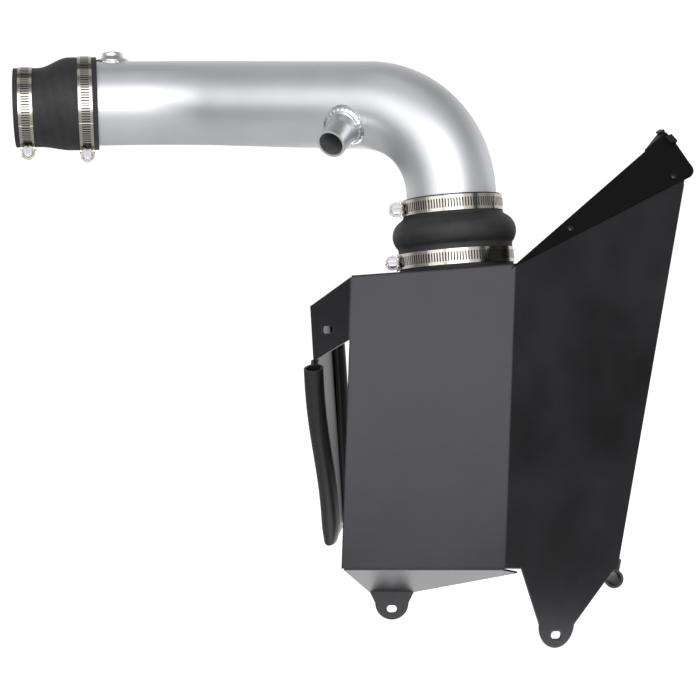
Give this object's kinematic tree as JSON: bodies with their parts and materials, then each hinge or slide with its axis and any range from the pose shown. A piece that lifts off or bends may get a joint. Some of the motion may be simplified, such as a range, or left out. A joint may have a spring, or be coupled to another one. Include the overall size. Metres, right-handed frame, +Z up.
{
  "type": "cold air intake",
  "caption": "Bent aluminium intake pipe with a sensor boss and breather spigot, rubber couplers with worm clamps, and a folded heat shield round a cone air filter.",
  "frame": {"origin": "centre of the throttle coupler's mouth", "axes": "+X from the throttle body towards the heat shield, +Y away from the shield's front face, +Z up"},
  "size_m": [0.6093, 0.264, 0.5161],
  "materials": {
    "pipe": "brushed satin",
    "pipe_fittings": "machined, welded",
    "coupler_rubber": "matte",
    "adapter": "machined",
    "fasteners": "black zinc",
    "filter_rubber": "moulded, matte",
    "filter_media": "pleated gauze",
    "shield_paint": "satin powder coat",
    "plate_paint": "satin powder coat",
    "seal_rubber": "satin",
    "clamp_steel": "rolled, bright",
    "clamp_screw": "zinc plated"
  },
  "bodies": {
    "root": {"adapter_screws": "fasteners", "breather_spigot": "pipe_fittings", "ear_edge_trim": "seal_rubber", "filter_adapter": "adapter", "filter_clamp_band": "clamp_steel", "filter_clamp_housing": "clamp_steel", "filter_clamp_screw": "clamp_screw", "filter_end_cap": "filter_rubber", "filter_neck": "filter_rubber", "filter_pleats": "filter_media", "heat_shield": "shield_paint", "hump_coupler": "coupler_rubber", "intake_pipe": "pipe", "left_bulb_seal": "seal_rubber", "lower_hump_clamp_band": "clamp_steel", "lower_hump_clamp_housing": "clamp_steel", "lower_hump_clamp_screw": "clamp_screw", "pipe_clamp_band": "clamp_steel", "pipe_clamp_housing": "clamp_steel", "pipe_clamp_screw": "clamp_screw", "plate_edge_trim": "seal_rubber", "plate_nuts": "fasteners", "plate_screws": "fasteners", "rear_bulb_seal": "seal_rubber", "right_bulb_seal": "seal_rubber", "sensor_boss": "pipe_fittings", "throttle_clamp_band": "clamp_steel", "throttle_clamp_housing": "clamp_steel", "throttle_clamp_screw": "clamp_screw", "throttle_coupler": "coupler_rubber", "upper_hump_clamp_band": "clamp_steel", "upper_hump_clamp_housing": "clamp_steel", "upper_hump_clamp_screw": "clamp_screw", "upper_plate": "plate_paint"}
  },
  "joints": []
}
